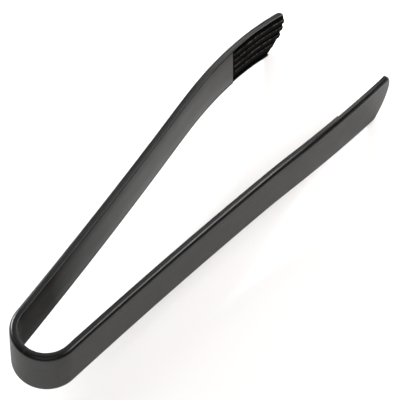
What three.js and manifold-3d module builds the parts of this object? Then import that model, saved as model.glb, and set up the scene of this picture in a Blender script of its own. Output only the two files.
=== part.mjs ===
// Spring loaded kitchen tongs: one flat strip bent into a U that stands on its side edge.
//
// Frame, in millimetres: +X runs between the arms from the bow to the tips, +Y is the left arm's
// side and +Z runs across the strip. The pieces are made about the centre of the round bow, and
// the finished group is then moved to put the origin under the middle of the whole object.
// Every piece follows the same centre line, which lies on the strip's inner face: q is the
// distance along it from the middle of the bow, positive along the left arm and negative along
// the right arm. At each q a section point has n, its distance outward from the inner face, and
// w, its distance up the strip.

import * as THREE from 'three';
import { mergeVertices } from 'three/addons/utils/BufferGeometryUtils.js';
import Module from 'manifold-3d';

const manifold = await Module();
manifold.setup();

// Strip
const stripWidth = 34.5;
const stripThickness = 4.45;
const outerFillet = 2.3;
const tipRoundLength = 9.7;

// Bow and arms
const bowInnerRadius = 15.6;
const armLength = 285;
const armSplay = 4.75;
const armFlare = 4.45;
const inwardBend = 13.2;
const inwardBendLength = 105;
const downwardBend = 20;
const downwardBendLength = 126;

// Inlay plate in the shell's channel
const rimWidth = 0.5;
const rimGroove = 0.8;
const plateThickness = 1.1;
const seamClearance = 0.3;

// Leaf spring behind the plate
const springThickness = 0.6;
const springWidth = 18;
const springReach = 62;

// Grip pads
const padLength = 62;
const padRootSlant = 0.34;
const padSlantFade = 30;
const padRootBacking = 2.15;
const padTipBacking = 1.55;
const padSlabThickness = 0.6;
const padWallWidth = 1;
const padWallDrop = 0.5;
const ribCount = 4;
const ribPitch = 6.05;
const ribPatternCentre = 0.6;
const ribWidth = 3.1;
const ribDraft = 0.2;
const ribSunk = 0.4;
const ribEdgeRound = 0.4;
const ribEndRound = 1.6;
const ribEndSlimming = 0.8;
const ribTipInset = 0.3;
const lowestRibShortfall = 3;

// Smoothness of the faceted solids
const bowStep = 2;
const straightStep = 20;
const bendStep = 7;
const tipStations = 6;
const filletSegments = 4;
const ribEdgeSegments = 3;
const slantSegments = 4;
const lastTipAngle = 80;
const summingStep = 4;
const weldTolerance = 1e-4;

// How far a cutter stands past the surface it cuts away from.
const cutterOverrun = 1;

const degree = Math.PI / 180;
const halfWidth = stripWidth / 2;
const bowArc = bowInnerRadius * (90 - armSplay) * degree;
const tipStart = armLength - tipRoundLength;
const padRoot = armLength - padLength;
const springOuter = plateThickness + seamClearance + springThickness;

// Depths of the pad below the inner face: the backing is the clearance and shell left behind it.
const padRootDepth = stripThickness - padRootBacking;
const padTipDepth = stripThickness - padTipBacking;
const ribHeight = padRootDepth - padSlabThickness;

// Direction of the arm at a run from the end of the bow: heading in plan and dip below level.
function armDirection(run) {
  const inward = Math.max(0, run - (armLength - inwardBendLength)) / inwardBendLength;
  const downward = Math.max(0, run - (armLength - downwardBendLength)) / downwardBendLength;
  return {
    heading: (armSplay + armFlare * run / armLength - inwardBend * inward) * degree,
    dip: downwardBend * downward * degree,
  };
}

// Point of the arm's centre line, summed in short straight steps from the end of the bow.
function armPoint(run) {
  const steps = Math.max(1, Math.ceil(Math.abs(run) / summingStep));
  const length = run / steps;
  const point = new THREE.Vector3(
    -bowInnerRadius * Math.sin(armSplay * degree),
    bowInnerRadius * Math.cos(armSplay * degree),
    0,
  );
  for (let i = 0; i < steps; i += 1) {
    const { heading, dip } = armDirection((i + 0.5) * length);
    point.x += length * Math.cos(heading) * Math.cos(dip);
    point.y += length * Math.sin(heading) * Math.cos(dip);
    point.z -= length * Math.sin(dip);
  }
  return point;
}

// Centre line at q: its point, the outward direction and the direction up the strip.
function centreLine(q) {
  const run = Math.abs(q) - bowArc;
  const inBow = run < 0;
  const { heading, dip } = inBow
    ? { heading: Math.PI / 2 - Math.abs(q) / bowInnerRadius, dip: 0 }
    : armDirection(run);
  const outward = new THREE.Vector3(-Math.sin(heading), Math.cos(heading), 0);
  const point = inBow ? outward.clone().multiplyScalar(bowInnerRadius) : armPoint(run);
  const up = new THREE.Vector3(
    Math.sin(dip) * Math.cos(heading),
    Math.sin(dip) * Math.sin(heading),
    Math.cos(dip),
  );
  if (q < 0) {
    point.y *= -1;
    outward.y *= -1;
    up.y *= -1;
  }
  return { point, outward, up };
}

// Place of a section point: q along the strip, n outward and w up.
function placed(q, n, w) {
  const { point, outward, up } = centreLine(q);
  return point.addScaledVector(outward, n).addScaledVector(up, w);
}

// Runs along an arm from first to last, close together in the bends.
function armStations(first, last) {
  const bendStart = armLength - Math.max(inwardBendLength, downwardBendLength);
  const stations = [first];
  let run = first;
  while (run < last - 0.01) {
    const step = run < bendStart ? straightStep : bendStep;
    run = last - run < 1.4 * step ? last : run + step;
    stations.push(run);
  }
  return stations;
}

// Runs round the elliptical tip, which ends in a short flat.
function tipRuns() {
  const runs = [];
  for (let i = 1; i <= tipStations; i += 1) {
    const angle = lastTipAngle * degree * i / tipStations;
    runs.push(tipStart + tipRoundLength * Math.sin(angle));
  }
  return runs;
}

// Share of the strip's width left at a run.
function tipTaper(run) {
  const along = Math.max(0, run - tipStart) / tipRoundLength;
  return Math.sqrt(Math.max(0, 1 - along * along));
}

// Thickness left at a run, so that the outer face rolls over at the tip.
function tipThickness(run) {
  const fromTip = armLength - run;
  const fall = Math.max(0, outerFillet - fromTip);
  const round = Math.sqrt(Math.max(0, outerFillet * outerFillet - fall * fall));
  return stripThickness - outerFillet + round;
}

// Closed section of [n, w] points as a shape.
function sectionShape(points) {
  return new THREE.Shape(points.map(([n, w]) => new THREE.Vector2(n, w)));
}

// A section swept over stations, then bent along the strip. reshape may change each section
// point at its station: it takes (station, n, w) and returns [q, n, w].
function sweep(section, stations, reshape = (q, n, w) => [q, n, w]) {
  const steps = stations.length - 1;
  const geometry = new THREE.ExtrudeGeometry(sectionShape(section), {
    depth: steps,
    steps,
    bevelEnabled: false,
  });
  const position = geometry.getAttribute('position');
  for (let i = 0; i < position.count; i += 1) {
    const station = stations[Math.round(position.getZ(i))];
    const place = placed(...reshape(station, position.getX(i), position.getY(i)));
    position.setXYZ(i, place.x, place.y, place.z);
  }
  return geometry;
}

// Sweep along one arm: runs are counted from the bow, and side is 1 for left and -1 for right.
function sweepArm(side, section, runs, reshape = (run, n, w) => [run, n, w]) {
  const ordered = side > 0 ? runs : [...runs].reverse();
  return sweep(section, ordered, (station, n, w) => {
    const [run, bentN, bentW] = reshape(station, n, w);
    return [side * (bowArc + run), bentN, bentW];
  });
}

function solidOf(geometry) {
  const bare = geometry.clone();
  bare.deleteAttribute('normal');
  bare.deleteAttribute('uv');
  const merged = mergeVertices(bare, weldTolerance);
  return new manifold.Manifold(new manifold.Mesh({
    numProp: 3,
    vertProperties: new Float32Array(merged.getAttribute('position').array),
    triVerts: new Uint32Array(merged.getIndex().array),
  }));
}

function geometryOf(solid) {
  const mesh = solid.getMesh();
  const geometry = new THREE.BufferGeometry();
  geometry.setAttribute('position', new THREE.BufferAttribute(new Float32Array(mesh.vertProperties), 3));
  geometry.setIndex(new THREE.BufferAttribute(new Uint32Array(mesh.triVerts), 1));
  geometry.computeVertexNormals();
  return geometry;
}

function cut(geometry, cutters) {
  return geometryOf(cutters.reduce((solid, cutter) => solid.subtract(solidOf(cutter)), solidOf(geometry)));
}

function join(geometries) {
  return geometryOf(geometries.map(solidOf).reduce((solid, next) => solid.add(next)));
}

// Rectangle from n1 to n2, with points across it so that its ends can be slanted.
function bandSection(n1, n2, width, pieces = 1) {
  const across = [];
  for (let i = 0; i <= pieces; i += 1) {
    across.push(width * (i / pieces - 0.5));
  }
  const near = [...across].reverse().map((w) => [n1, w]);
  const far = across.map((w) => [n2, w]);
  return [...near, ...far];
}

// The shell's section: square inner edges and rounded outer edges.
function shellSection() {
  const points = [[0, halfWidth], [0, -halfWidth]];
  for (const sign of [-1, 1]) {
    for (let i = 0; i <= filletSegments; i += 1) {
      const turn = (sign < 0 ? i : filletSegments - i) * 90 / filletSegments * degree;
      points.push([
        stripThickness - outerFillet + outerFillet * Math.sin(turn),
        sign * (halfWidth - outerFillet + outerFillet * Math.cos(turn)),
      ]);
    }
  }
  return points;
}

// Evenly spaced stations round the bow between the two flex lines, where the arms begin.
function bowStations(reach) {
  const count = 2 * Math.ceil(reach / bowStep);
  return Array.from({ length: count + 1 }, (_, i) => reach * (2 * i / count - 1));
}

const halfGap = seamClearance / 2;
const bowReach = bowArc - halfGap;
const channelWidth = stripWidth - 2 * rimWidth;
const channelDepth = plateThickness + seamClearance;
const plateWidth = channelWidth - 2 * rimGroove;
const springPocketWidth = springWidth + 2 * seamClearance;
const springPocketDepth = springOuter + seamClearance;
const padSeatWidth = stripWidth - 2 * padWallWidth;
const padWidth = padSeatWidth - 2 * seamClearance;

function bowShell() {
  const body = sweep(shellSection(), bowStations(bowReach));
  const openStations = bowStations(bowReach + cutterOverrun);
  const channelSection = bandSection(-cutterOverrun, channelDepth, channelWidth);
  const pocketSection = bandSection(-cutterOverrun, springPocketDepth, springPocketWidth);
  return cut(body, [sweep(channelSection, openStations), sweep(pocketSection, openStations)]);
}

function bowPlate() {
  return sweep(bandSection(0, plateThickness, plateWidth), bowStations(bowReach));
}

function bowSpring() {
  const section = bandSection(plateThickness + seamClearance, springOuter, springWidth);
  return sweep(section, bowStations(bowReach));
}

// Narrows a section round the tip and rolls its outer face over.
function shellTip(run, n, w) {
  const depth = n > stripThickness - outerFillet
    ? n + tipThickness(run) - stripThickness
    : n;
  return [run, depth, w * tipTaper(run)];
}

function armShell(side) {
  const runs = [...armStations(halfGap, tipStart), ...tipRuns()];
  const body = sweepArm(side, shellSection(), runs, shellTip);
  const channelSection = bandSection(-cutterOverrun, channelDepth, channelWidth, slantSegments);
  const channelRuns = armStations(-cutterOverrun, padRoot + cutterOverrun);
  const channel = sweepArm(side, channelSection, channelRuns, slanted);
  const pocketSection = bandSection(-cutterOverrun, springPocketDepth, springPocketWidth);
  const pocketRuns = armStations(-cutterOverrun, springReach + seamClearance);
  const pocket = sweepArm(side, pocketSection, pocketRuns);
  return cut(body, [channel, pocket, padWallCutter(side), padSeat(side)]);
}

// Leans a section near the pad's root over, so that the plate stops and the pad starts on one
// slanted line across the strip.
function slanted(run, n, w) {
  const share = Math.max(0, 1 - Math.abs(run - padRoot) / padSlantFade);
  return [run + padRootSlant * (halfWidth - w) * share, n, w];
}

// Depth of the pad below the inner face, which grows towards the tip.
function padDepth(run) {
  const along = (run - padRoot) / padLength;
  return padRootDepth + (padTipDepth - padRootDepth) * along;
}

// Runs of the cutters that make room for the pad, from its root line to past the tip.
function padCutterRuns() {
  return armStations(padRoot - seamClearance, armLength + 2 * cutterOverrun);
}

// Lowers the shell's edges beside the pad, so that they stand a little below the inner face.
function padWallCutter(side) {
  const width = stripWidth + 2 * cutterOverrun;
  const section = bandSection(-cutterOverrun, padWallDrop, width, slantSegments);
  return sweepArm(side, section, padCutterRuns(), slanted);
}

// Seat for the pad between the shell's two edges, open at the tip.
function padSeat(side) {
  const section = bandSection(-cutterOverrun, cutterOverrun, padSeatWidth, slantSegments);
  return sweepArm(side, section, padCutterRuns(), (run, n, w) => (
    slanted(run, n > 0 ? padDepth(run) + seamClearance : n, w)
  ));
}

function armPlate(side) {
  const end = padRoot - seamClearance;
  const section = bandSection(0, plateThickness, plateWidth, slantSegments);
  return sweepArm(side, section, armStations(halfGap, end), slanted);
}

function springLeg(side) {
  const section = bandSection(plateThickness + seamClearance, springOuter, springWidth);
  return sweepArm(side, section, armStations(halfGap, springReach));
}

// Pad slab: from the floor of the grooves down to the shell, narrowing with the strip's tip.
function padSlab(side) {
  const runs = [...armStations(padRoot, tipStart), ...tipRuns()];
  const section = bandSection(ribHeight, padRootDepth, padWidth, slantSegments);
  const middle = (ribHeight + padRootDepth) / 2;
  return sweepArm(side, section, runs, (run, n, w) => {
    const share = Math.min(1, stripWidth * tipTaper(run) / padWidth);
    return slanted(run, n > middle ? padDepth(run) : n, w * share);
  });
}

// Flat topped bar with rounded edges that stands on the slab and reaches up to the inner face.
function ribSection() {
  const foot = ribWidth / 2 + ribDraft;
  const points = [[ribHeight + ribSunk, foot], [ribHeight + ribSunk, -foot]];
  for (const sign of [-1, 1]) {
    for (let i = 0; i <= ribEdgeSegments; i += 1) {
      const turn = (sign < 0 ? i : ribEdgeSegments - i) * 90 / ribEdgeSegments * degree;
      points.push([
        ribEdgeRound * (1 - Math.sin(turn)),
        sign * (ribWidth / 2 - ribEdgeRound + ribEdgeRound * Math.cos(turn)),
      ]);
    }
  }
  return points.reverse();
}

// One rib: its ends are slimmer and lower than its middle.
function padRib(side, centre, shortfall) {
  const shoulder = Math.abs(centre) + ribWidth / 4;
  const reach = Math.sqrt(1 - (shoulder / halfWidth) ** 2);
  const [root] = slanted(padRoot, 0, centre);
  const first = root + ribEndRound / 2;
  const last = tipStart + (tipRoundLength - ribTipInset) * reach - shortfall;
  const inner = armStations(first + ribEndRound, last - ribEndRound);
  const runs = [first, first + ribEndRound / 3, ...inner, last - ribEndRound / 3, last];
  return sweepArm(side, ribSection(), runs, (run, n, w) => {
    const fromEnd = Math.min(run - first, last - run, ribEndRound);
    const size = Math.sqrt(1 - (ribEndSlimming * (1 - fromEnd / ribEndRound)) ** 2);
    const height = n < ribHeight ? ribHeight - (ribHeight - n) * size : n;
    return [run, height, centre + w * size];
  });
}

function gripPad(side) {
  const ribs = [];
  for (let i = 0; i < ribCount; i += 1) {
    const centre = ribPatternCentre + ribPitch * (i - (ribCount - 1) / 2);
    ribs.push(padRib(side, centre, i === 0 ? lowestRibShortfall : 0));
  }
  return join([padSlab(side), ...ribs]);
}

function plastic(name, color, roughness) {
  return new THREE.MeshStandardMaterial({ name, color, roughness, metalness: 0 });
}

function shellMaterial() {
  return plastic('shell_plastic', 0x2e2d2c, 0.5);
}

function plateMaterial() {
  return plastic('plate_plastic', 0x323130, 0.55);
}

function padMaterial() {
  return plastic('pad_plastic', 0x0c0b0a, 0.3);
}

function springMaterial() {
  return new THREE.MeshStandardMaterial({
    name: 'spring_steel',
    color: 0xa5a8ab,
    roughness: 0.35,
    metalness: 1,
  });
}

function addPiece(group, name, geometry, material) {
  const mesh = new THREE.Mesh(geometry, material);
  mesh.name = name;
  group.add(mesh);
}

const tongs = new THREE.Group();
tongs.name = 'kitchen_tongs';
addPiece(tongs, 'bow_shell', bowShell(), shellMaterial());
addPiece(tongs, 'bow_plate', bowPlate(), plateMaterial());
addPiece(tongs, 'bow_spring', bowSpring(), springMaterial());
for (const [hand, side] of [['left', 1], ['right', -1]]) {
  addPiece(tongs, `${hand}_arm_shell`, armShell(side), shellMaterial());
  addPiece(tongs, `${hand}_arm_plate`, armPlate(side), plateMaterial());
  addPiece(tongs, `${hand}_spring_leg`, springLeg(side), springMaterial());
  addPiece(tongs, `${hand}_grip_pad`, gripPad(side), padMaterial());
}

const bounds = new THREE.Box3().setFromObject(tongs, true);
tongs.position.set(-(bounds.min.x + bounds.max.x) / 2, 0, -bounds.min.z);
tongs.updateMatrixWorld(true);

export default tongs;
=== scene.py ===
"""Looks of the spring loaded kitchen tongs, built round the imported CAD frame.

Frame, in metres: +X runs between the arms from the bow to the tips, +Y is the left arm's side and
+Z runs across the strip. The strip's pieces follow one centre line on its inner face: q is the
distance along it from the middle of the bow, positive on the left arm and negative on the right;
run is the distance along an arm from the end of the bow; n is the depth outward from the inner
face and w the height up the strip.
"""

import math

import bmesh
import bpy
import numpy as np
from mathutils import Matrix, Vector


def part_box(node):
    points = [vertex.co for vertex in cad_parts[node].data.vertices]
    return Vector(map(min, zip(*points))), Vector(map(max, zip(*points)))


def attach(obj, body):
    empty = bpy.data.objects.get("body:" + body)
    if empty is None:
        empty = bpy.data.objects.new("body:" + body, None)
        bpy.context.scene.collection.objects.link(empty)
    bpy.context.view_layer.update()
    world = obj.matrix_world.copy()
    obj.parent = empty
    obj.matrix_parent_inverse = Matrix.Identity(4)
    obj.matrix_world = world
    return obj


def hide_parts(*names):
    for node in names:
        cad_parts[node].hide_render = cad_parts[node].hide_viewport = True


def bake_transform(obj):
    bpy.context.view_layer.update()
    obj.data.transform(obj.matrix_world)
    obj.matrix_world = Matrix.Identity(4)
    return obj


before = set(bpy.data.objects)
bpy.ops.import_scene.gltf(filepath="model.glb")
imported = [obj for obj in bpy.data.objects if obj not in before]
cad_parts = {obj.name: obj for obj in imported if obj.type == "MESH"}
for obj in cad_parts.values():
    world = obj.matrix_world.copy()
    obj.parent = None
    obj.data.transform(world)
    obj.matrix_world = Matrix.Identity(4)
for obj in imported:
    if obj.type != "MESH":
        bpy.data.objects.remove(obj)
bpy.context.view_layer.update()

MM = 0.001
LEFT = 1
RIGHT = -1

# Strip
STRIP_WIDTH = 34.5 * MM
STRIP_THICKNESS = 4.45 * MM
OUTER_FILLET = 2.3 * MM
TIP_ROUND_LENGTH = 9.7 * MM

# Bow and arms
BOW_INNER_RADIUS = 15.6 * MM
ARM_LENGTH = 285 * MM
ARM_SPLAY = math.radians(4.75)
ARM_FLARE = math.radians(4.45)
INWARD_BEND = math.radians(13.2)
INWARD_BEND_LENGTH = 105 * MM
DOWNWARD_BEND = math.radians(20)
DOWNWARD_BEND_LENGTH = 126 * MM

# Inlay plate in the shell's channel
RIM_WIDTH = 0.5 * MM
RIM_EDGE_RADIUS = 0.2 * MM
CHANNEL_EDGE_RADIUS = 0.1 * MM
CHANNEL_DEPTH = 1.4 * MM
PLATE_THICKNESS = 1.1 * MM
PLATE_EDGE_RADIUS = 0.22 * MM
PLATE_GROOVE = 0.8 * MM
PLATE_SEAM = 0.3 * MM

# Leaf spring behind the plate
SPRING_INNER = 1.4 * MM
SPRING_THICKNESS = 0.6 * MM
SPRING_WIDTH = 18 * MM
SPRING_REACH = 62 * MM
SPRING_EDGE_RADIUS = 0.1 * MM

# Grip pads
PAD_LENGTH = 62 * MM
PAD_ROOT_SLANT = 0.34
PAD_SLANT_FADE = 30 * MM
PAD_ROOT_DEPTH = 2.3 * MM
PAD_TIP_DEPTH = 2.9 * MM
PAD_WALL_WIDTH = 1.0 * MM
PAD_WALL_DROP = 0.5 * MM
PAD_SIDE_SEAM = 0.3 * MM
RIB_COUNT = 4
RIB_PITCH = 6.05 * MM
RIB_PATTERN_CENTRE = 0.6 * MM
RIB_HEIGHT = 1.7 * MM
RIB_WIDTH = 3.1 * MM
RIB_DRAFT = 0.2 * MM
RIB_FOOT_LIP = 0.02 * MM
RIB_EDGE_RADIUS = 0.4 * MM
RIB_END_SLIMNESS = 0.35
RIB_ROOT_INSET = 0.8 * MM
RIB_TIP_INSET = 0.3 * MM
RIB_END_ROUND = 1.6 * MM
LOWEST_RIB_SHORTFALL = 3.0 * MM

# Fineness of the meshes
LINE_POINT_COUNT = 571
BOW_STEP = 0.5 * MM
STRAIGHT_STEP = 3 * MM
BEND_STEP = 2 * MM
SPRING_BOW_STEP = 1 * MM
SPRING_STEP = 4 * MM
TIP_STATIONS = 30
FILLET_POINTS = 9
OUTER_FACE_POINTS = 9
RIM_SEGMENTS = 3
CHANNEL_SEGMENTS = 2
PLATE_SEGMENTS = 3
SPRING_SEGMENTS = 2
RIB_EDGE_POINTS = 5
PAD_ROOT_ROWS = 14
PAD_MIDDLE_ROWS = 24
PAD_TIP_ROWS = 26
# Height of the extra points on a bar's faces, as a share of its half width
BAR_FACE_SHARE = 0.4
WELD_DISTANCE = 0.002 * MM
DEGENERATE_EDGE = 0.001 * MM
SHARP_ANGLE = math.radians(38)

HALF_WIDTH = STRIP_WIDTH / 2
BOW_ARC = BOW_INNER_RADIUS * (math.pi / 2 - ARM_SPLAY)
TIP_START = ARM_LENGTH - TIP_ROUND_LENGTH
PAD_ROOT = ARM_LENGTH - PAD_LENGTH
CHANNEL_HALF = HALF_WIDTH - RIM_WIDTH
PAD_SEAT_HALF = HALF_WIDTH - PAD_WALL_WIDTH
# As deep as the tip's rounded edge allows. The pad's underside lies deeper: inside the shell, and
# a hair proud of the rounded edge along the tip's outline.
PAD_SEAT_DEPTH = STRIP_THICKNESS - OUTER_FILLET
PAD_HALF = PAD_SEAT_HALF - PAD_SIDE_SEAM
RIB_FOOT_HALF = RIB_WIDTH / 2 + RIB_DRAFT
bow_low, bow_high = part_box("bow_shell")
BOW_CENTRE = np.array((
    bow_low.x + BOW_INNER_RADIUS + STRIP_THICKNESS,
    0.0,
    (bow_low.z + bow_high.z) / 2,
))


# ---------------------------------------------------------------- the strip's centre line


def arm_direction(run):
    """Heading in plan and dip below level at runs along an arm."""
    inward = np.maximum(0, run - (ARM_LENGTH - INWARD_BEND_LENGTH)) / INWARD_BEND_LENGTH
    downward = np.maximum(0, run - (ARM_LENGTH - DOWNWARD_BEND_LENGTH)) / DOWNWARD_BEND_LENGTH
    heading = ARM_SPLAY + ARM_FLARE * run / ARM_LENGTH - INWARD_BEND * inward
    return heading, DOWNWARD_BEND * downward


def arm_line():
    """Runs along the left arm and the centre line's points at them, summed in short steps."""
    runs = np.linspace(0, ARM_LENGTH, LINE_POINT_COUNT)
    heading, dip = arm_direction((runs[1:] + runs[:-1]) / 2)
    direction = np.stack(
        [np.cos(heading) * np.cos(dip), np.sin(heading) * np.cos(dip), -np.sin(dip)], 1
    )
    start = BOW_INNER_RADIUS * np.array((-math.sin(ARM_SPLAY), math.cos(ARM_SPLAY), 0.0))
    steps = np.cumsum(direction * np.diff(runs)[:, None], 0)
    return runs, np.vstack([start, start + steps])


LINE_RUNS, LINE_POINTS = arm_line()


def place(side, along, n, w):
    """Points of the frame for arrays of distance along the strip from the middle of the bow, depth
    and height."""
    along, n, w = np.broadcast_arrays(along, n, w)
    run = along - BOW_ARC
    in_bow = run < 0
    heading, dip = arm_direction(np.maximum(run, 0))
    heading = np.where(in_bow, math.pi / 2 - along / BOW_INNER_RADIUS, heading)
    outward = np.stack([-np.sin(heading), np.cos(heading), np.zeros_like(heading)], -1)
    up = np.stack(
        [np.sin(dip) * np.cos(heading), np.sin(dip) * np.sin(heading), np.cos(dip)], -1
    )
    line = np.stack(
        [np.interp(run, LINE_RUNS, LINE_POINTS[:, axis]) for axis in range(3)], -1
    )
    point = np.where(in_bow[..., None], BOW_INNER_RADIUS * outward, line)
    spot = point + outward * n[..., None] + up * w[..., None]
    spot[..., 1] *= side
    return spot + BOW_CENTRE


def tip_taper(run):
    """Share of the strip's width left at a run."""
    along = np.clip((run - TIP_START) / TIP_ROUND_LENGTH, 0, 1)
    return np.sqrt(1 - along * along)


def tip_reach(w):
    """Run at which the strip ends, at a height."""
    share = np.clip(np.abs(w) / HALF_WIDTH, 0, 1)
    return TIP_START + TIP_ROUND_LENGTH * np.sqrt(1 - share * share)


def inset(run, w):
    """Distance from the strip's outline, on its face."""
    x = np.maximum(0, run - TIP_START) / TIP_ROUND_LENGTH
    y = np.abs(w) / HALF_WIDTH
    share = np.sqrt(x * x + y * y)
    slope = np.sqrt((x / TIP_ROUND_LENGTH) ** 2 + (y / HALF_WIDTH) ** 2)
    round_end = (1 - share) * share / np.maximum(slope, 1)
    return np.maximum(0, np.where(x > 0, round_end, HALF_WIDTH - np.abs(w)))


def slant(run, w):
    """Extra run that leans a section near the pad's root, so that plate and pad meet on one
    slanted line."""
    share = np.maximum(0, 1 - np.abs(run - PAD_ROOT) / PAD_SLANT_FADE)
    return PAD_ROOT_SLANT * (HALF_WIDTH - w) * share


def pad_depth(run):
    """Depth of the pad's underside below the inner face."""
    along = (run - PAD_ROOT) / PAD_LENGTH
    return PAD_ROOT_DEPTH + (PAD_TIP_DEPTH - PAD_ROOT_DEPTH) * along


# ---------------------------------------------------------------- meshes


def build_mesh(name, points, faces, strip):
    """An object from points and faces, closed, with outward faces, and its strip coordinates kept
    in the attribute strip_place, which the materials' grain follows."""
    mesh = bpy.data.meshes.new(name)
    mesh.from_pydata([tuple(point) for point in points], [], faces)
    attribute = mesh.attributes.new("strip_place", "FLOAT_VECTOR", "POINT")
    attribute.data.foreach_set("vector", np.asarray(strip, np.float32).ravel())
    work = bmesh.new()
    work.from_mesh(mesh)
    bmesh.ops.remove_doubles(work, verts=work.verts, dist=WELD_DISTANCE)
    bmesh.ops.dissolve_degenerate(work, edges=work.edges, dist=DEGENERATE_EDGE)
    bmesh.ops.recalc_face_normals(work, faces=work.faces)
    for face in work.faces:
        face.smooth = True
    for edge in work.edges:
        edge.smooth = edge.is_manifold and edge.calc_face_angle(0) < SHARP_ANGLE
    work.to_mesh(mesh)
    work.free()
    thing = bpy.data.objects.new(name, mesh)
    bpy.context.scene.collection.objects.link(thing)
    return thing


def sweep(name, side, along, n, w):
    """A closed section swept along the strip. along is one distance per station or one per point;
    n and w have one row per station and one column per section point."""
    if along.ndim == 1:
        along = np.repeat(along[:, None], n.shape[1], 1)
    stations, count = n.shape
    points = place(side, along, n, w).reshape(-1, 3)
    strip = np.stack([side * along, n, w], -1).reshape(-1, 3)
    faces = []
    for i in range(stations - 1):
        for j in range(count):
            k = (j + 1) % count
            faces.append((
                i * count + j,
                i * count + k,
                (i + 1) * count + k,
                (i + 1) * count + j,
            ))
    faces.append(tuple(range(count)))
    faces.append(tuple((stations - 1) * count + j for j in range(count)))
    return build_mesh(name, points, faces, strip)


def bow_runs(step=BOW_STEP):
    """Runs from the middle of the bow, where they are negative, to its end."""
    count = int(math.ceil(BOW_ARC / step))
    return list(np.linspace(-BOW_ARC, 0, count + 1))


def arm_runs(first, last, step):
    """Evenly spaced runs along an arm, with both ends."""
    count = max(1, int(math.ceil((last - first) / step)))
    return list(np.linspace(first, last, count + 1))


def round_corner(radius, segments):
    """Offsets (across, along) of a quarter round from its first tangent to its second."""
    turns = np.linspace(0, math.pi / 2, segments + 1)
    return radius * (1 - np.cos(turns)), radius * (1 - np.sin(turns))


def mirrored(n, w):
    """The inner side's high half, followed by the same half turned over to the low edge."""
    return np.array(n + n[::-1]), np.array(w + [-height for height in reversed(w)])


def shell_half(name, side):
    """Half of the outer shell: its bow from the middle, and its arm."""
    runs = bow_runs()
    runs += arm_runs(0, PAD_ROOT - PAD_SLANT_FADE, STRAIGHT_STEP)[1:]
    runs += arm_runs(PAD_ROOT - PAD_SLANT_FADE, PAD_ROOT, BEND_STEP)[1:]
    seat_from = len(runs)
    runs += arm_runs(PAD_ROOT, TIP_START, BEND_STEP)
    turns = np.radians(np.linspace(0, 90, TIP_STATIONS + 1)[1:])
    runs += list(TIP_START + TIP_ROUND_LENGTH * np.sin(turns))
    runs = np.array(runs)

    # outer face from low to high, in shares of the half width
    fillet = np.linspace(0, math.pi / 2, FILLET_POINTS)
    edge = 1 - OUTER_FILLET * (1 - np.cos(fillet)) / HALF_WIDTH
    middle = np.linspace(-edge[-1], edge[-1], OUTER_FACE_POINTS)[1:-1]
    outer = np.concatenate([-edge, middle, edge[::-1]])

    # inner side from the high edge to the channel's floor, then mirrored to the low edge: along
    # the plate, and beside the pad, where the rim is wider and lower
    across, depth = round_corner(RIM_EDGE_RADIUS, RIM_SEGMENTS)
    rim_w = list(HALF_WIDTH - across)
    rim_n = list(depth)
    wall_n = list(PAD_WALL_DROP + depth)
    wall_w = list(rim_w)
    across, depth = round_corner(CHANNEL_EDGE_RADIUS, CHANNEL_SEGMENTS)
    rim_n += list(across) + [CHANNEL_DEPTH] * 2
    rim_w += list(CHANNEL_HALF + depth) + [CHANNEL_HALF, CHANNEL_HALF / 2]
    wall_n += list(PAD_WALL_DROP + across) + [PAD_SEAT_DEPTH] * 2
    wall_w += list(PAD_SEAT_HALF + depth) + [PAD_SEAT_HALF, PAD_SEAT_HALF / 2]
    inner_n, inner_w = mirrored(rim_n, rim_w)
    wall_n, wall_w = mirrored(wall_n, wall_w)

    taper = tip_taper(runs)[:, None]
    outer_w = outer[None] * HALF_WIDTH * taper
    round_off = np.clip(OUTER_FILLET - inset(runs[:, None], outer_w), 0, OUTER_FILLET)
    outer_n = STRIP_THICKNESS - OUTER_FILLET + np.sqrt(OUTER_FILLET**2 - round_off**2)
    in_seat = (np.arange(len(runs)) >= seat_from)[:, None]
    limit = HALF_WIDTH * taper
    seat_w = np.clip(wall_w[None], -limit, limit)
    past_wall = (np.abs(wall_w[None]) > limit) & (limit < PAD_SEAT_HALF)
    seat_n = np.where(past_wall, PAD_SEAT_DEPTH, wall_n[None])
    inner_rows_n = np.where(in_seat, seat_n, inner_n[None])
    inner_rows_w = np.where(in_seat, seat_w, inner_w[None])
    n = np.hstack([outer_n, inner_rows_n])
    w = np.hstack([outer_w, inner_rows_w])
    lean = np.hstack([0 * outer_w, slant(runs[:, None], inner_rows_w)])
    along = BOW_ARC + runs[:, None] + lean
    return sweep(name, side, along, n, w)


def bar_section(half, inner, outer, radius, segments):
    """Closed rectangular section with rounded corners: arrays of n and w."""
    across, depth = round_corner(radius, segments)
    face = BAR_FACE_SHARE * half
    n = [*(inner + depth), inner, inner, *(inner + depth)[::-1]]
    w = [*(half - across), face, -face, *(across - half)[::-1]]
    n += [*(outer - depth), outer, outer, *(outer - depth)[::-1]]
    w += [*(across - half), -face, face, *(half - across)[::-1]]
    return np.array(n), np.array(w)


def plate_half(name, side):
    """Half of the inlay plate: from the middle of the bow to the pad's root."""
    end = PAD_ROOT - PLATE_SEAM
    runs = bow_runs() + arm_runs(0, PAD_ROOT - PAD_SLANT_FADE, STRAIGHT_STEP)[1:]
    runs += arm_runs(PAD_ROOT - PAD_SLANT_FADE, end, BEND_STEP)[1:]
    runs = np.array(runs)
    half = CHANNEL_HALF - PLATE_GROOVE
    n, w = bar_section(half, 0, PLATE_THICKNESS, PLATE_EDGE_RADIUS, PLATE_SEGMENTS)
    rows = np.ones((len(runs), 1))
    along = BOW_ARC + runs[:, None] + slant(runs[:, None], w[None])
    return sweep(name, side, along, rows * n, rows * w)


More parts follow.
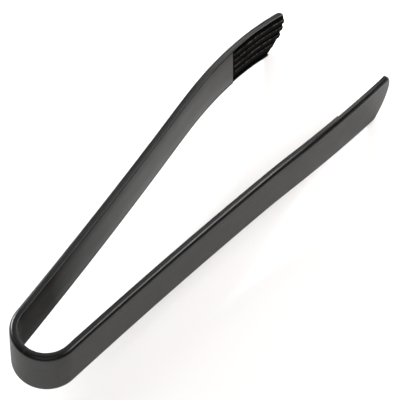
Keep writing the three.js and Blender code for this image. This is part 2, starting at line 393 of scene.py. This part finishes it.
def spring_half(name, side):
    """Half of the leaf spring, hidden between plate and shell."""
    runs = bow_runs(SPRING_BOW_STEP) + arm_runs(0, SPRING_REACH, SPRING_STEP)[1:]
    runs = np.array(runs)
    n, w = bar_section(
        SPRING_WIDTH / 2,
        SPRING_INNER,
        SPRING_INNER + SPRING_THICKNESS,
        SPRING_EDGE_RADIUS,
        SPRING_SEGMENTS,
    )
    rows = np.ones((len(runs), 1))
    return sweep(name, side, BOW_ARC + runs, rows * n, rows * w)


def rib_centres():
    """Heights of the ribs' middles, from the lowest up."""
    middle = (RIB_COUNT - 1) / 2
    return [RIB_PATTERN_CENTRE + RIB_PITCH * (i - middle) for i in range(RIB_COUNT)]


def rib_profile():
    """Offsets across one rib from its middle, and the rise there as a share of the height."""
    turns = np.linspace(math.pi / 2, 0, RIB_EDGE_POINTS)
    across = RIB_WIDTH / 2 - RIB_EDGE_RADIUS * (1 - np.sin(turns))
    rise = RIB_HEIGHT - RIB_EDGE_RADIUS * (1 - np.cos(turns))
    across = np.array([RIB_FOOT_HALF + RIB_FOOT_LIP, RIB_FOOT_HALF, *across, 0])
    rise = np.array([0, RIB_FOOT_LIP, *rise, RIB_HEIGHT])
    return across, rise / RIB_HEIGHT


def rib_rise(run, w, root, reach):
    """Height of the ribs above the pad's groove floor."""
    across, share = rib_profile()
    order = np.argsort(across)
    rise = np.zeros_like(run)
    for i, centre in enumerate(rib_centres()):
        shortfall = LOWEST_RIB_SHORTFALL if i == 0 else 0
        past = np.maximum(root + RIB_ROOT_INSET + RIB_END_ROUND - run, 0)
        past = np.maximum(past, run - (reach - shortfall - RIB_TIP_INSET - RIB_END_ROUND))
        end = np.clip(1 - (past / RIB_END_ROUND) ** 2, 0, 1) ** 0.5
        slimming = RIB_END_SLIMNESS + (1 - RIB_END_SLIMNESS) * end
        profile = np.interp(np.abs(w - centre) / slimming, across[order], share[order])
        rise = np.maximum(rise, RIB_HEIGHT * profile * end)
    return rise


def grip_pad(name, side):
    """Ribbed pad: a slab between the shell's two edges, with flat topped ribs that reach up to
    the strip's inner face."""
    across, _ = rib_profile()
    heights = [-PAD_HALF, PAD_HALF]
    for centre in rib_centres():
        heights += list(centre - across) + list(centre + across)
        heights += [centre - RIB_WIDTH / 4, centre + RIB_WIDTH / 4]
    heights = np.array(sorted({round(height, 7) for height in heights}))
    w = heights[None]
    root = PAD_ROOT + slant(np.array(PAD_ROOT), w)
    reach = tip_reach(w)
    tip_length = RIB_TIP_INSET + RIB_END_ROUND + LOWEST_RIB_SHORTFALL
    root_part = np.linspace(0, RIB_ROOT_INSET + RIB_END_ROUND, PAD_ROOT_ROWS)
    tip_part = np.linspace(tip_length, 0, PAD_TIP_ROWS)
    rows = [root + distance for distance in root_part]
    first = rows[-1]
    last = reach - tip_length
    for i in range(1, PAD_MIDDLE_ROWS):
        rows.append(first + (last - first) * i / PAD_MIDDLE_ROWS)
    rows += [reach - distance for distance in tip_part]
    run = np.vstack(rows)
    w = np.repeat(w, len(run), 0)
    root = np.repeat(root, len(run), 0)
    reach = np.repeat(reach, len(run), 0)
    top_n = RIB_HEIGHT - rib_rise(run, w, root, reach)
    return heightfield(name, side, run, w, top_n, pad_depth(run))


def heightfield(name, side, run, w, top_n, low_n):
    """A closed slab between two grids that share their outline."""
    rows, columns = run.shape
    along = BOW_ARC + run
    top = place(side, along, top_n, w).reshape(-1, 3)
    low = place(side, along, low_n, w).reshape(-1, 3)
    strip = np.concatenate([
        np.stack([side * along, top_n, w], -1).reshape(-1, 3),
        np.stack([side * along, low_n, w], -1).reshape(-1, 3),
    ])
    total = rows * columns
    faces = []
    for i in range(rows - 1):
        for j in range(columns - 1):
            corner = i * columns + j
            quad = (corner, corner + 1, corner + columns + 1, corner + columns)
            faces.append(quad)
            faces.append(tuple(vertex + total for vertex in reversed(quad)))
    ring = list(range(columns))
    ring += [i * columns + columns - 1 for i in range(1, rows)]
    ring += [(rows - 1) * columns + j for j in range(columns - 2, -1, -1)]
    ring += [i * columns for i in range(rows - 2, 0, -1)]
    for here, after in zip(ring, ring[1:] + ring[:1]):
        faces.append((after, here, here + total, after + total))
    return build_mesh(name, np.concatenate([top, low]), faces, strip)


# ---------------------------------------------------------------- materials


def node(tree, kind, **values):
    """A new node. Each value goes to the input of that name, or else to the node's own setting."""
    made = tree.nodes.new(kind)
    for key, value in values.items():
        if key in made.inputs:
            made.inputs[key].default_value = value
        else:
            setattr(made, key, value)
    return made


def arithmetic(tree, operation, *values):
    """The result of a math node whose inputs are sockets or plain numbers."""
    made = node(tree, "ShaderNodeMath", operation=operation)
    for value, socket in zip(values, made.inputs):
        if isinstance(value, (int, float)):
            socket.default_value = value
        else:
            tree.links.new(value, socket)
    return made.outputs[0]


def mix_colour(tree, share, first, second):
    """Mix of two colours, each a socket or a plain colour."""
    made = tree.nodes.new("ShaderNodeMix")
    made.data_type = "RGBA"
    tree.links.new(share, made.inputs["Factor"])
    for value, socket in ((first, made.inputs["A"]), (second, made.inputs["B"])):
        if isinstance(value, tuple):
            socket.default_value = value
        else:
            tree.links.new(value, socket)
    return made.outputs["Result"]


def map_range(tree, value, low, high, to_low, to_high):
    """value mapped from low..high to to_low..to_high, and held at the ends."""
    made = tree.nodes.new("ShaderNodeMapRange")
    made.inputs["From Min"].default_value = low
    made.inputs["From Max"].default_value = high
    made.inputs["To Min"].default_value = to_low
    made.inputs["To Max"].default_value = to_high
    tree.links.new(value, made.inputs["Value"])
    return made.outputs["Result"]


def strip_coordinates(tree, stretch=(1, 1, 1)):
    """Distance along the strip, depth and height, in metres, times the stretch."""
    place_node = node(tree, "ShaderNodeAttribute", attribute_name="strip_place")
    scaled = tree.nodes.new("ShaderNodeVectorMath")
    scaled.operation = "MULTIPLY"
    scaled.inputs[1].default_value = stretch
    tree.links.new(place_node.outputs["Vector"], scaled.inputs[0])
    return scaled.outputs["Vector"]


def strip_parts(tree):
    """Sockets of the distance along the strip, the depth and the height, in metres."""
    parts = tree.nodes.new("ShaderNodeSeparateXYZ")
    tree.links.new(strip_coordinates(tree), parts.inputs[0])
    return parts.outputs["X"], parts.outputs["Y"], parts.outputs["Z"]


def noise(tree, coordinates, scale, detail=2.0, roughness=0.5):
    """A noise pattern over the strip's coordinates, with values round 0.5."""
    made = node(tree, "ShaderNodeTexNoise", Scale=scale, Detail=detail, Roughness=roughness)
    tree.links.new(coordinates, made.inputs["Vector"])
    return made.outputs["Fac"]


# Where the finish and the painted shade change, on the strip and its pieces
FLAT_BELOW_EDGE = 1.35 * OUTER_FILLET
ROUND_BELOW_EDGE = 0.7 * OUTER_FILLET
INNER_FACE_TO = 0.2 * MM
INNER_EDGE_FROM = 0.5 * MM
CREST_TO = 0.5 * MM
FLANK_FROM = 0.8 * MM
# painted shade on the plate near the bow: full up to this distance along the arm, gone from the
# next
BOW_SHADE_TO = 28 * MM
BOW_SHADE_GONE_FROM = 125 * MM
PLATE_FACE_TO = 0.01 * MM
GROOVE_FROM = 0.6 * PLATE_EDGE_RADIUS

# Strength of the finish there, of the painted shade on the edges, near the bow and in the groove,
# and of the painted highlights on the pads' ribs
EDGE_GLOSS = 0.55
# painted shade: share of the dark mottle left on the strip's edges and rounded corners
PAINTED_EDGE_SHADE = 0.35
EDGE_GRAIN = 0.15
# painted shade: share of the plate's reflection left near the bow
BOW_SHADE_GLOSS = 0.05
# painted shade: colour of the plate's edges down in the groove
GROOVE_PAINTED_SHADE = (0.0006, 0.0006, 0.0006, 1)
# painted highlight: strength on the ribs' lower edges, the upper edges getting the full strength
LOWER_RIB_HIGHLIGHT = 0.35
WORN_POINTINESS_FROM = 0.52
WORN_POINTINESS_TO = 0.60
ROUGHNESS_SPREAD = 0.03

# Patterns: noise scales per metre, and factors on the strip's coordinates, where a small first
# one draws the pattern out along the strip
MOTTLE_SCALE = 55
SCUFF_SCALE = 420
STREAK_SCALE = 900
STREAK_STRETCH = (0.08, 1, 1)
STEEL_CLOUD_SCALE = 120
ROLLING_LINE_SCALE = 2500
ROLLING_LINE_STRETCH = (0.03, 1, 1)

STEEL_DARK = (0.36, 0.37, 0.38, 1)
STEEL_LIGHT = (0.46, 0.47, 0.48, 1)


def flatness(tree):
    """1 on the strip's broad faces, falling to 0 over its edges and rounded corners, taken from
    the height up the strip and the depth from the inner face."""
    _, depth, height = strip_parts(tree)
    from_middle = arithmetic(tree, "ABSOLUTE", height)
    flat_to = HALF_WIDTH - FLAT_BELOW_EDGE
    round_from = HALF_WIDTH - ROUND_BELOW_EDGE
    broad = map_range(tree, from_middle, flat_to, round_from, 1, 0)
    inner = map_range(tree, depth, INNER_FACE_TO, INNER_EDGE_FROM, 1, 0)
    return arithmetic(tree, "MAXIMUM", broad, inner)


def rib_edge_highlights(tree):
    """1 on the upper edge of every rib of a pad, where the crest turns into the flank, and less on
    the lower
    edge: where the painted highlights along the ribs go."""
    _, depth, height = strip_parts(tree)
    lines = []
    for sign, strength in ((1, 1.0), (-1, LOWER_RIB_HIGHLIGHT)):
        edge = rib_centres()[0] + sign * (RIB_WIDTH / 2 - RIB_EDGE_RADIUS / 3)
        ribs_up = arithmetic(tree, "DIVIDE", height, RIB_PITCH)
        shifted = arithmetic(tree, "SUBTRACT", ribs_up, edge / RIB_PITCH - 0.5)
        repeated = arithmetic(tree, "FRACT", shifted)
        offset = arithmetic(tree, "SUBTRACT", repeated, 0.5)
        away = arithmetic(tree, "ABSOLUTE", offset)
        width = RIB_EDGE_RADIUS / RIB_PITCH
        lines.append(map_range(tree, away, width / 2, width, strength, 0))
    both = arithmetic(tree, "MAXIMUM", *lines)
    crest = map_range(tree, depth, CREST_TO, FLANK_FROM, 1, 0)
    return arithmetic(tree, "MULTIPLY", both, crest)


def convex_edges(tree):
    """1 on the mesh's outward edges, where moulded corners wear first."""
    pointiness = tree.nodes.new("ShaderNodeNewGeometry").outputs["Pointiness"]
    return map_range(tree, pointiness, WORN_POINTINESS_FROM, WORN_POINTINESS_TO, 0, 1)


def away_from_bow(tree):
    """0 near the bow, rising to 1 along the arm; it fades out the plate's painted shade near the
    bow.
    """
    along, _, _ = strip_parts(tree)
    distance = arithmetic(tree, "ABSOLUTE", along)
    return map_range(tree, distance, BOW_ARC + BOW_SHADE_TO, BOW_ARC + BOW_SHADE_GONE_FROM, 0, 1)


def above_groove(tree):
    """1 on the plate's face, falling to 0 down its edges, which are painted near black and lose
    their reflection as painted shade in the groove.
    """
    _, depth, _ = strip_parts(tree)
    return map_range(tree, depth, PLATE_FACE_TO, GROOVE_FROM, 1, 0)


def moulded_plastic(
    name, kind, dark, light, wear_and_highlight, rough_edge, rough_flat, specular, grain, grain_depth
):
    """Moulded plastic: a mottled colour, a fine spark-eroded grain on its broad faces, smoother
    edges darkened by painted shade, and lighter corners where wear shows. The plate's reflection
    is turned down near the bow as painted shade, and its edges are painted near black as shade in
    the groove. On a pad the ribs' edges get painted highlights, stronger on the upper edges, in
    place of wear."""
    material = bpy.data.materials.new(name)
    material.use_nodes = True
    tree = material.node_tree
    shader = tree.nodes["Principled BSDF"]
    place_along = strip_coordinates(tree)
    broad = noise(tree, place_along, MOTTLE_SCALE, 3)
    fine = noise(tree, place_along, grain, 2, 0.6)
    streaks = noise(tree, strip_coordinates(tree, STREAK_STRETCH), STREAK_SCALE, 2)
    flat = flatness(tree)

    mottled = mix_colour(tree, map_range(tree, broad, 0.35, 0.65, 0, 1), dark, light)
    # painted shade: a darker copy of the dark mottle on the edges and rounded corners
    painted_edge_shade_colour = tuple(PAINTED_EDGE_SHADE * value for value in dark[:3]) + (1,)
    mottle_with_edge_shade = mix_colour(tree, flat, painted_edge_shade_colour, mottled)
    # painted highlights on a pad's rib edges; wear on the corners of the other pieces
    edges = rib_edge_highlights(tree) if kind == "pad" else convex_edges(tree)
    scuffs = map_range(tree, noise(tree, place_along, SCUFF_SCALE, 3), 0.45, 0.62, 0.15, 1)
    colour = mix_colour(tree, arithmetic(tree, "MULTIPLY", edges, scuffs), mottle_with_edge_shade, wear_and_highlight)
    if kind == "plate":
        # painted shade: the plate's edges are painted near black in the groove
        colour = mix_colour(tree, above_groove(tree), GROOVE_PAINTED_SHADE, colour)
    tree.links.new(colour, shader.inputs["Base Color"])

    finish = map_range(tree, flat, 0, 1, rough_edge, rough_flat)
    for pattern in (broad, streaks):
        change = map_range(tree, pattern, 0.3, 0.7, -ROUGHNESS_SPREAD, ROUGHNESS_SPREAD)
        finish = arithmetic(tree, "ADD", finish, change)
    tree.links.new(finish, shader.inputs["Roughness"])

    gloss = map_range(tree, flat, 0, 1, EDGE_GLOSS * specular, specular)
    if kind == "plate":
        # painted shade: the plate's reflection is turned down near the bow, between the arms
        painted_bow_shade = map_range(tree, away_from_bow(tree), 0, 1, BOW_SHADE_GLOSS, 1)
        gloss = arithmetic(tree, "MULTIPLY", gloss, painted_bow_shade)
        # painted shade: no reflection from the plate's edges in the groove
        gloss = arithmetic(tree, "MULTIPLY", gloss, above_groove(tree))
    tree.links.new(gloss, shader.inputs["Specular IOR Level"])

    bump = node(tree, "ShaderNodeBump", Distance=grain_depth)
    tree.links.new(map_range(tree, flat, 0, 1, EDGE_GRAIN, 1.0), bump.inputs["Strength"])
    tree.links.new(fine, bump.inputs["Height"])
    tree.links.new(bump.outputs["Normal"], shader.inputs["Normal"])
    return material


def rolled_steel(name):
    """Cold rolled spring steel with fine lines along its length."""
    material = bpy.data.materials.new(name)
    material.use_nodes = True
    tree = material.node_tree
    shader = tree.nodes["Principled BSDF"]
    lines = noise(tree, strip_coordinates(tree, ROLLING_LINE_STRETCH), ROLLING_LINE_SCALE, 2)
    cloud = noise(tree, strip_coordinates(tree), STEEL_CLOUD_SCALE, 3)
    colour = mix_colour(tree, cloud, STEEL_DARK, STEEL_LIGHT)
    tree.links.new(colour, shader.inputs["Base Color"])
    tree.links.new(map_range(tree, lines, 0.3, 0.7, 0.28, 0.42), shader.inputs["Roughness"])
    shader.inputs["Metallic"].default_value = 1
    bump = node(tree, "ShaderNodeBump", Strength=0.5, Distance=0.01 * MM)
    tree.links.new(lines, bump.inputs["Height"])
    tree.links.new(bump.outputs["Normal"], shader.inputs["Normal"])
    return material


SHELL_PLASTIC = moulded_plastic(
    "shell_satin",
    "shell",
    dark=(0.0070, 0.0064, 0.0060, 1),
    light=(0.0150, 0.0138, 0.0130, 1),
    wear_and_highlight=(0.030, 0.029, 0.027, 1),
    rough_edge=0.27,
    rough_flat=0.55,
    specular=0.36,
    grain=900,
    grain_depth=0.14 * MM,
)
PLATE_PLASTIC = moulded_plastic(
    "plate_matte",
    "plate",
    dark=(0.0080, 0.0073, 0.0068, 1),
    light=(0.0170, 0.0157, 0.0148, 1),
    wear_and_highlight=(0.030, 0.029, 0.027, 1),
    rough_edge=0.30,
    rough_flat=0.55,
    specular=0.41,
    grain=800,
    grain_depth=0.14 * MM,
)
PAD_PLASTIC = moulded_plastic(
    "pad_gloss",
    "pad",
    dark=(0.0022, 0.0020, 0.0019, 1),
    light=(0.0045, 0.0041, 0.0038, 1),
    # painted highlight colour on the ribs' edges
    wear_and_highlight=(0.055, 0.052, 0.048, 1),
    rough_edge=0.45,
    rough_flat=0.50,
    specular=0.003,
    grain=1100,
    grain_depth=0.03 * MM,
)
SPRING_STEEL = rolled_steel("spring_rolled")


# ---------------------------------------------------------------- pieces


def bend_with_arm(thing, side):
    """Bakes the piece's transform into its mesh. The middle and the end of the bow on its side are
    worked out but not used.
    """
    start = place(side, np.array(0.0), np.array(0.0), np.array(0.0))
    end = place(side, np.array(BOW_ARC), np.array(0.0), np.array(0.0))
    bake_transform(thing)


def finish_piece(thing, material, slot, *nodes):
    """Gives a piece its material and hides the CAD nodes that it replaces. The slot is not used.
    """
    thing.data.materials.append(material)
    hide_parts(*nodes)


for hand, side in (("left", LEFT), ("right", RIGHT)):
    arm = f"{hand}_arm"
    shell = shell_half(f"{hand}_shell", side)
    bend_with_arm(shell, side)
    finish_piece(shell, SHELL_PLASTIC, "shell_plastic", "bow_shell", f"{arm}_shell")
    plate = plate_half(f"{hand}_plate", side)
    bend_with_arm(plate, side)
    finish_piece(plate, PLATE_PLASTIC, "plate_plastic", "bow_plate", f"{arm}_plate")
    spring = spring_half(f"{hand}_spring", side)
    bend_with_arm(spring, side)
    finish_piece(spring, SPRING_STEEL, "spring_steel", "bow_spring", f"{hand}_spring_leg")
    pad = grip_pad(f"{hand}_pad", side)
    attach(pad, arm)
    finish_piece(pad, PAD_PLASTIC, "pad_plastic", f"{hand}_grip_pad")


# ---------------------------------------------------------------- camera

CAMERA_AZIMUTH = math.radians(-57.69)
CAMERA_ELEVATION = math.radians(55.34)
CAMERA_ROLL = math.radians(5.73)
CAMERA_DISTANCE = 988.8 * MM
CAMERA_LENS = 153.05
CAMERA_SENSOR = 36
AIM = Vector(BOW_CENTRE) + Vector((129.0 * MM, -7.7 * MM, 0.0))


def add_camera():
    """Camera at an azimuth, elevation and roll, aimed between the arms."""
    right = Vector((math.cos(CAMERA_AZIMUTH), math.sin(CAMERA_AZIMUTH), 0))
    forward = Vector((
        -math.sin(CAMERA_AZIMUTH) * math.cos(CAMERA_ELEVATION),
        math.cos(CAMERA_AZIMUTH) * math.cos(CAMERA_ELEVATION),
        -math.sin(CAMERA_ELEVATION),
    ))
    up = right.cross(forward)
    rolled_right = right * math.cos(CAMERA_ROLL) + up * math.sin(CAMERA_ROLL)
    rolled_up = up * math.cos(CAMERA_ROLL) - right * math.sin(CAMERA_ROLL)
    data = bpy.data.cameras.new("camera")
    data.lens = CAMERA_LENS
    data.sensor_width = CAMERA_SENSOR
    data.clip_start = 0.01
    data.clip_end = 100
    camera = bpy.data.objects.new("camera", data)
    bpy.context.scene.collection.objects.link(camera)
    turn = Matrix((rolled_right, rolled_up, -forward)).transposed().to_4x4()
    camera.matrix_world = Matrix.Translation(AIM - forward * CAMERA_DISTANCE) @ turn
    bpy.context.scene.camera = camera


add_camera()


# ---------------------------------------------------------------- floor and light

FLOOR_HALF = 6.0
FLOOR_GLOW = 0.22
FLOOR_GLOW_COLOUR = (1.0, 0.97, 0.95, 1)
FLOOR_COLOUR = (0.58, 0.565, 0.555, 1)
FLOOR_ROUGHNESS = 0.9
WORLD_COLOUR = (0.95, 0.97, 1.0, 1)
WORLD_STRENGTH = 0.22


def add_floor():
    """Plain pale floor with a weak even glow."""
    mesh = bpy.data.meshes.new("floor")
    half = FLOOR_HALF
    corners = [(-half, -half, 0), (half, -half, 0), (half, half, 0), (-half, half, 0)]
    mesh.from_pydata(corners, [], [(0, 1, 2, 3)])
    floor = bpy.data.objects.new("floor", mesh)
    bpy.context.scene.collection.objects.link(floor)
    material = bpy.data.materials.new("floor_paper")
    material.use_nodes = True
    shader = material.node_tree.nodes["Principled BSDF"]
    shader.inputs["Base Color"].default_value = FLOOR_COLOUR
    shader.inputs["Roughness"].default_value = FLOOR_ROUGHNESS
    shader.inputs["Specular IOR Level"].default_value = 0.0
    shader.inputs["Emission Color"].default_value = FLOOR_GLOW_COLOUR
    shader.inputs["Emission Strength"].default_value = FLOOR_GLOW
    mesh.materials.append(material)


def softbox(name, azimuth, elevation, distance, width, height, radiance, tint=(1, 1, 1)):
    """A soft area light aimed between the arms. Azimuth turns from +X towards +Y."""
    data = bpy.data.lights.new(name, "AREA")
    data.shape = "RECTANGLE"
    data.size = width
    data.size_y = height
    data.energy = radiance * math.pi * width * height
    data.color = tint
    light = bpy.data.objects.new(name, data)
    bpy.context.scene.collection.objects.link(light)
    turn = math.radians(azimuth)
    rise = math.radians(elevation)
    back = Vector((
        math.cos(turn) * math.cos(rise),
        math.sin(turn) * math.cos(rise),
        math.sin(rise),
    ))
    light.location = AIM + back * distance
    light.rotation_mode = "QUATERNION"
    light.rotation_quaternion = (-back).to_track_quat("-Z", "Y")


add_floor()
softbox("top_box", 30, 54, 1.7, 1.0, 0.6, 2.1)
softbox("tip_box", 22, 29, 1.8, 1.2, 0.6, 4.0)
softbox("edge_box", -34, 62, 1.5, 1.2, 0.26, 25.0)
softbox("left_box", 90, 28, 1.5, 0.6, 0.4, 60.0, (0.93, 0.97, 1.0))
softbox("key_box", 212, 50, 2.4, 1.8, 1.8, 1.6)

world = bpy.data.worlds.new("studio")
world.use_nodes = True
background = world.node_tree.nodes["Background"]
background.inputs["Color"].default_value = WORLD_COLOUR
background.inputs["Strength"].default_value = WORLD_STRENGTH
bpy.context.scene.world = world
bpy.context.scene.view_settings.view_transform = "Standard"
